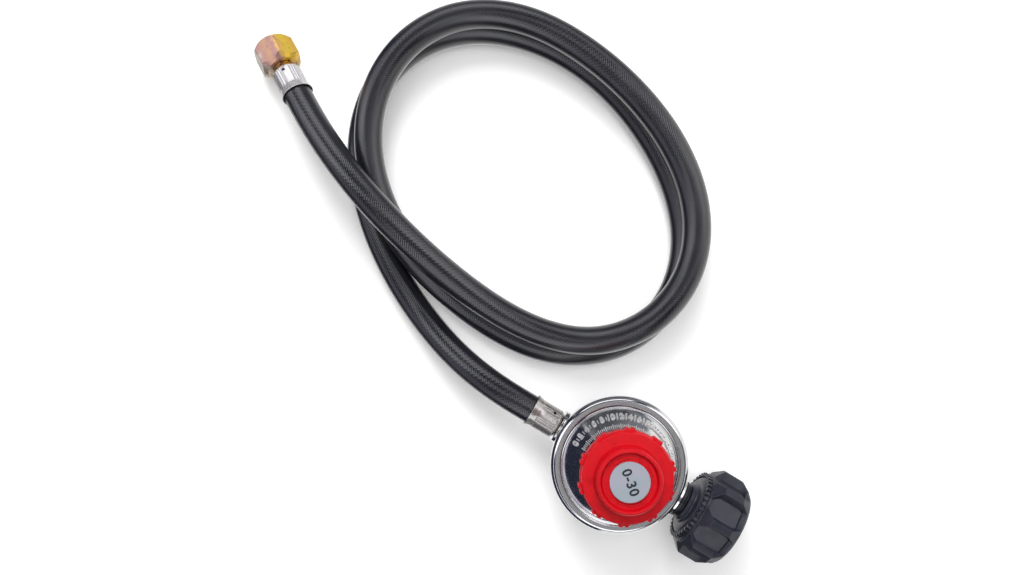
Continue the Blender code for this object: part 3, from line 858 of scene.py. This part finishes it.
def knob(look):
    """Two-step knob with small hooked lugs round its skirt, and raised arrows and signs on its face."""
    body = lathe(
        "knob_grip",
        [
            (2.4, KNOB_FLOOR, 0), (11.9, KNOB_FLOOR, 0.3), (12.5, KNOB_TOP - 0.6, 0.3),
            (12.9, KNOB_TOP, 0.5), (13.9, KNOB_TOP, 0.6), (14.5, KNOB_TOP - 0.9, 0.5),
            (15.0, KNOB_SHOULDER + 0.1, 0.7), (20.2, KNOB_SHOULDER, 0.6), (20.5, 62.4, 0.4),
            (KNOB_R, 61.9, 0.3), (KNOB_R, KNOB_BOTTOM, 0.3), (18.9, KNOB_BOTTOM, 0.2), (18.4, 61.8, 0),
            (12.9, 62.6, 0), (12.9, 67.2, 0), (4.3, 67.2, 0), (4.3, 68.9, 0), (2.4, 68.9, 0),
        ],
        segments=180,
    )
    lugs = []
    for i in range(LUGS):
        turn = Matrix.Rotation(2 * math.pi * (i + 0.25) / LUGS, 4, "Z")
        lugs.append(carved(prism(f"lug_{i}", LUG, KNOB_BOTTOM + 0.3, 62.2, turn), bevel=0.2))
    grip = carved(body, lugs)
    dress(grip, look, "knob", "knob_plastic", "knob")
    dress(merged("knob_arrows", knob_signs()), look, "knob", "knob_plastic")


def arc_outline(radius, width, start, end, head=0.0, steps=14):
    """Curved bar about the origin, with an arrow's head at its end if head is given (degrees)."""
    stop = end - math.copysign(head, end - start)
    angles = np.radians(np.linspace(start, stop, steps))
    outer = [polar(radius + width / 2, a) for a in angles]
    inner = [polar(radius - width / 2, a) for a in angles[::-1]]
    if not head:
        return outer + inner
    foot = math.radians(stop)
    wide = width * 1.25
    tip = polar(radius, math.radians(end))
    return outer + [polar(radius + wide, foot), tip, polar(radius - wide, foot)] + inner


def knob_signs():
    """Two curved arrows, each beside a plus or a minus sign, on the ring round the label."""
    low, high = KNOB_FLOOR - 0.2, KNOB_FLOOR + 0.55
    base = math.degrees(IMAGE_TURN)
    signs = []
    for name, middle in (("plus", 62.0), ("minus", 242.0)):
        at = middle + base
        signs.append(prism(f"arrow_{name}", arc_outline(SIGN_R, 0.75, at + 22, at + 72, 12), low, high))
        angle = math.radians(at)
        turn = Matrix.Rotation(angle, 4, "Z")
        place = Matrix.Translation((*polar(SIGN_R * MM, angle), 0)) @ turn
        signs.append(block(f"{name}_bar", (-0.3, -1.1, low), (0.3, 1.1, high), place))
        if name == "plus":
            signs.append(block("plus_cross", (-1.1, -0.3, low), (1.1, 0.3, high + 0.01), place))
        signs.append(prism(f"dash_{name}", arc_outline(SIGN_R, 0.6, at - 20, at - 62), low, high))
    return signs


def label(face, ink):
    """Pale disc with a printed range in numerals."""
    top = KNOB_TOP - 0.4
    low = KNOB_FLOOR + 0.3
    disc = lathe(
        "label_disc",
        [
            (0, top, 0), (LABEL_R, top, 0.35), (LABEL_R, low, 0), (8.2, low, 0), (8.2, top - 0.5, 0),
            (0, top - 0.5, 0),
        ],
        closed=False, segments=128,
    )
    dress(disc, face, "knob", "label", "knob_label")
    turn = Matrix.Rotation(IMAGE_TURN + math.radians(-70), 4, "Z")
    place = Matrix.Translation((0, 0, (top + 0.02) * MM)) @ turn
    numerals = lettering("label_numerals", "0-30", 5.9, 0.12, place, 1.02, 0.14, 0.0, 1.12)
    dress(numerals, ink, "knob", "label")


# ---------------------------------------------------------------- tank side
NUT_BACK, NUT_FRONT = 37.8, 63.5
NUT_R, NUT_RIM_R, NUT_FLAT_R, NUT_THREAD_R = 22.6, 19.7, 17.9, 16.7
NUT_RIBS, NUT_TEETH = 8, 40


def bushing(look):
    """Ring between the inlet's collar and the nut."""
    piece = lathe(
        "heat_bushing_ring",
        [
            (6.6, 37.5, 0.1), (8.2, 37.5, 0.25), (8.2, 36.9, 0.1), (7.9, 36.7, 0.1), (7.9, 36.4, 0.1),
            (8.9, 36.1, 0.25), (8.9, INLET_END + 0.3, 0.25), (6.6, INLET_END + 0.3, 0),
        ],
        INLET, segments=96,
    )
    dress(piece, look, "regulator", "bushing_plastic", "heat_bushing")


def nipple(look):
    """Turned nipple: flange inside the nut, O-ring groove, and a bull nose round the flow limiter."""
    piece = lathe(
        "inlet_nipple_turned",
        [
            (3.4, 57.5, 0.3), (4.6, 57.5, 0.4), (5.3, 56.4, 0.6), (6.0, 53.4, 0.3), (6.0, 52.6, 0.1),
            (5.2, 52.4, 0.2), (5.2, 50.8, 0.2), (6.0, 50.6, 0.1), (6.0, 43.6, 0.4), (10.5, 43.6, 0.3),
            (10.5, 41.8, 0.3), (6.3, 41.8, 0.2), (6.3, 24.4, 0.3), (5.6, 23.2, 0), (1.9, 23.2, 0),
            (1.9, 44.8, 0), (3.4, 45.2, 0),
        ],
        INLET, segments=96,
    )
    dress(piece, look, "regulator", "brass", "inlet_nipple")


def nipple_seal(look):
    """O-ring in the nipple's groove."""
    piece = lathe(
        "inlet_nipple_seal",
        [(5.1, 52.3, 0.3), (6.25, 52.3, 0.7), (6.25, 50.9, 0.7), (5.1, 50.9, 0.3)], INLET, segments=96,
    )
    dress(piece, look, "regulator", "diaphragm_rubber")


def tank_nut(look):
    """Hand nut: turned shell, toothed shoulder, flats between tapered ribs, and a coarse thread."""
    body = lathe(
        "tank_nut_grip",
        [
            (18.7, NUT_FRONT, 0.3), (NUT_RIM_R, NUT_FRONT - 1.1, 0.5), (NUT_RIM_R, 61.4, 0.4),
            (18.9, 60.2, 0.5), (17.6, 60.0, 0.2), (17.6, 45.2, 0.2), (18.6, 44.8, 0.4), (18.0, 43.5, 0.4),
            (16.7, 43.0, 0.3), (16.4, 42.1, 0.3), (15.1, 41.8, 0.3), (13.8, 40.8, 0.4), (12.4, 40.4, 0.3),
            (10.6, 40.3, 0.2), (10.3, 39.5, 0.2), (9.6, 39.3, 0.2), (9.4, NUT_BACK, 0.3),
            (6.7, NUT_BACK, 0.3), (6.7, 41.5, 0), (11.5, 41.5, 0), (11.5, 44.2, 0),
            (NUT_THREAD_R, 45.2, 0), (NUT_THREAD_R, 62.6, 0.2), (17.5, NUT_FRONT, 0.2),
        ],
        INLET, segments=160,
    )
    eighth = 2 * math.pi / NUT_RIBS
    corner = NUT_FLAT_R / math.cos(eighth / 2)
    flats = prism("nut_flats", [polar(corner, i * eighth) for i in range(NUT_RIBS)], 44.9, 60.4, INLET)
    grip = carved(flats, cuts=[rod("nut_flats_bore", 17.2, 40, 64, INLET, 160)])
    ribs = [rib(f"nut_rib_{i}", turned(eighth * i)) for i in range(NUT_RIBS)]
    shell = carved(body, [grip, *ribs])
    teeth = []
    for i in range(NUT_TEETH):
        place = turned(2 * math.pi * i / NUT_TEETH)
        teeth.append(block(f"nut_tooth_{i}", (15.4, -0.65, 41.2), (17.3, 0.65, 43.35), place))
    dress(carved(shell, teeth), look, "tank_nut", "nut_plastic", "tank_nut")
    ridge = thread("tank_nut_thread", NUT_THREAD_R, 1.15, 3.2, 47.0, 60.4, INLET)
    dress(ridge, look, "tank_nut", "nut_plastic")


def turned(angle):
    """The inlet's place, turned about its own axis."""
    return INLET @ Matrix.Rotation(angle, 4, "Z")


def rib(name, place):
    """One rib along the nut: narrow on top, its two ends flaring out into shoulder and rim."""
    sections = [  # along the nut: position, the top's radius, half widths of the top and of the foot
        (44.0, 18.6, 4.6, 5.3), (48.0, NUT_R, 1.75, 2.7), (58.0, NUT_R, 1.75, 2.7),
        (62.0, 19.9, 3.4, 4.0), (62.6, 19.3, 3.7, 4.3),
    ]
    foot = 17.4
    build = bmesh.new()
    rings = []
    for z, top, half_top, half_foot in sections:
        outline = [(foot, -half_foot), (top, -half_top), (top, half_top), (foot, half_foot)]
        rings.append([build.verts.new((x * MM, y * MM, z * MM)) for x, y in outline])
    skin(build, rings)
    return carved(finished(name, build, place), bevel=0.3)


# ---------------------------------------------------------------- hose ends
FERRULE_LENGTH = 14.9
CRIMPS, CRIMP_LOW, CRIMP_HIGH = 6, 3.4, 13.6  # how many, and where along the sleeve
FURROW_DEPTH, FURROW_AT, FURROW_WIDTH = 0.36, 0.10, 0.055  # mm, then radians from a gap's middle
LAND_DEPTH = 0.22
RUN_IN, RUN_OUT = 0.8, 0.6  # how far the crimps take to reach their depth at each end
FERRULE_BORE_R = 6.45
FLARE_START, FLARE_END = 15.5, 31.7
FLARE_BACK = FLARE_START + 1.8
FLARE_BORE_R = 7.9
FLARE_HALF = 19.05 / 2  # half the size across the flats
HEX_TURN = math.radians(109)


def crimped(facing):
    """Shape of a sleeve: pressed lands, one of them facing that angle, with furrow pairs between."""
    pitch = 2 * math.pi / CRIMPS

    def point(r, z, angle):
        if r < FERRULE_BORE_R + 0.15 or not CRIMP_LOW < z < CRIMP_HIGH:
            return r, z
        pressed = min(1.0, (z - CRIMP_LOW) / RUN_IN, (CRIMP_HIGH - z) / RUN_OUT)
        offset = abs(((angle - facing) / pitch) % 1.0 - 0.5) * pitch
        furrows = FURROW_DEPTH * math.exp(-(((offset - FURROW_AT) / FURROW_WIDTH) ** 2))
        land = LAND_DEPTH * math.sin(min(1.0, offset / (pitch / 2)) * math.pi / 2)
        return r - pressed * (furrows + land), z

    return point


def ferrule(prefix, mouth, facing, hole_turn, hole_at, look):
    """Crimped sleeve with a flared rim at the hose and an inspection hole near the fitting.
    Facing and hole_turn are angles round the sleeve (degrees), hole_at is how far along it (mm)."""
    end, bore = FERRULE_LENGTH, FERRULE_BORE_R
    sleeve = lathe(
        f"{prefix}_ferrule_crimped",
        [
            (4.7, end, 0), (6.0, end, 0.4), (6.9, end - 0.9, 0.7), (7.05, CRIMP_HIGH, 0), (7.05, 13.3, 0),
            (7.05, 13.0, 0), (7.05, 9.6, 0), (7.05, 6.4, 0), (7.05, 4.2, 0), (7.05, 3.8, 0),
            (7.1, CRIMP_LOW, 0), (7.25, 2.4, 0.8), (7.85, 0.5, 0.5), (7.95, 0, 0.12), (7.7, 0, 0.12),
            (7.35, 1.7, 0.2), (bore, 2.3, 0), (bore, end - 0.9, 0), (4.7, end - 0.9, 0),
        ],
        mouth, segments=240, shape=crimped(math.radians(facing)), sharp=40,
    )
    side = Vector((*polar(1, math.radians(hole_turn)), 0))
    along = Vector((0, 0, 1))
    drill = Matrix((along, side.cross(along), side)).transposed().to_4x4()
    place = mouth @ Matrix.Translation((0, 0, hole_at * MM)) @ drill
    hole = rod(f"{prefix}_hole", 0.85, 5.0, 9.0, place, 24)
    sleeve = carved(sleeve, cuts=[hole], sharp=40)
    return dress(sleeve, look, "regulator", "ferrule_nickel", f"{prefix}_ferrule")


def hexagon(low, high):
    """Shape of a hexagon's flats, which end on the cones (r, z, slope) low and high."""
    corner = FLARE_HALF / math.cos(math.pi / 6) - 0.12

    def point(r, z, angle):
        if r < FLARE_HALF - 0.01:
            return r, z
        side = (angle - HEX_TURN) % (math.pi / 3) - math.pi / 6
        across = min(FLARE_HALF / math.cos(side), corner)
        radius, end, slope = high if z > (low[1] + high[1]) / 2 else low
        return across, end + (across - radius) * slope

    return point


def flare_nut(look):
    """Chamfered hexagon with a drilled and threaded mouth."""
    flat, back, front, bore = FLARE_HALF, FLARE_BACK, FLARE_END, FLARE_BORE_R
    nut = lathe(
        "flare_nut_hex",
        [
            (5.35, back + 0.7, 0), (5.35, FLARE_START + 3.2, 0), (bore, FLARE_START + 3.2, 0),
            (bore, front - 0.8, 0), (8.5, front - 0.1, 0), (8.8, front, 0.1), (9.05, front, 0.1),
            (flat, front - 1, 0), (flat, back + 1, 0), (7.9, back, 0.2), (6.9, back, 0.1),
            (6.9, back + 0.6, 0.1),
        ],
        FAR_MOUTH, segments=360, shape=hexagon((7.9, back, 0.95), (9.05, front, -1.35)), sharp=20,
    )
    dress(nut, look, "flare_nut", "yellow_zinc", "flare_nut")
    ridge = thread("flare_nut_thread", bore, 0.55, 1.41, FLARE_START + 9.6, front - 1.5, FAR_MOUTH)
    dress(ridge, look, "flare_nut", "yellow_zinc")
    return nut, ridge


def flare_insert(look):
    """Barbed insert with its flare cone."""
    tip = HOSE_DEPTH + 0.3
    back = FLARE_START
    teeth = []
    for i in reversed(range(5)):
        foot = tip + i * 2.6
        teeth += [(4.3, foot + 2.34, 0.1), (3.7, foot + 0.1, 0.1)]
    piece = lathe(
        "flare_insert_turned",
        [
            (2.4, back + 8.8, 0.2), (3.2, back + 8.8, 0.25), (6.9, back + 4.9, 0.2),
            (7.3, back + 4.4, 0.2), (7.3, back + 3.3, 0.15), (5.0, back + 3.3, 0), (5.0, 15.3, 0),
            (4.3, 15.0, 0), *teeth, (2.4, tip, 0),
        ],
        FAR_MOUTH, segments=96,
    )
    return dress(piece, look, "regulator", "brass", "flare_insert")


# ---------------------------------------------------------------- everything
def main():
    """Builds the studio and every piece, each dressed with its material and body, with the CAD nodes it
    stands for hidden.
    """
    camera()
    studio()
    rubber, gold, yellow = hose_rubber(), brass(), yellow_zinc()
    # One nickel plate in two copies: the near ferrule's is painted darker as shade, the far one's is
    # painted lighter as light.
    painted_shade_nickel = nickel("painted_shade_nickel", [(0.47, 0.45, 0.43), (0.57, 0.55, 0.53)], 0.82)
    painted_light_nickel = nickel("painted_light_nickel", [(0.64, 0.62, 0.63), (0.74, 0.72, 0.73)], 0.68)
    line = smooth_line(ROUTE[::-1], RING_STEP)
    hose = dress(tube("hose_tube", line, HOSE_R), rubber, "regulator", "hose_rubber", "hose")
    near_ferrule = ferrule("regulator", REGULATOR_MOUTH, 78, 45, 10.2, painted_shade_nickel)
    far_ferrule = ferrule("far", FAR_MOUTH, 98, 93, 12.0, painted_light_nickel)
    nut, ridge = flare_nut(yellow)
    insert = flare_insert(gold)
    zinc, red, steel_look, soft = plated_zinc(), red_plastic(), steel(), diaphragm_rubber()
    casting(zinc)
    bonnet(zinc)
    scale_marks(worn_zinc())
    knob(red)
    label(label_face(), label_ink())
    bushing(black_plastic())
    nipple(gold)
    nipple_seal(soft)
    tank_nut(charcoal_plastic())
    kept = (  # CAD nodes that no piece here replaces
        (soft, ["diaphragm", "seat_disc"]),
        (rubber, ["regulator_hose_cuff", "far_hose_cuff"]),
        (gold, ["inlet_nozzle", "outlet_barb", "diaphragm_stem"]),
        (gold, ["valve_lever", "valve_carrier", "flow_limiter_poppet"]),
        (steel_look, ["main_spring", "spring_button", "adjusting_screw", "knob_screw"]),
        (steel_look, ["lever_pin", "diaphragm_pan", "flow_limiter_spring", "flow_limiter_clip"]),
    )
    for look, names in kept:
        for node in names:
            data = frame["nodes"][node].data
            data.materials.clear()
            data.materials.append(look)


main()
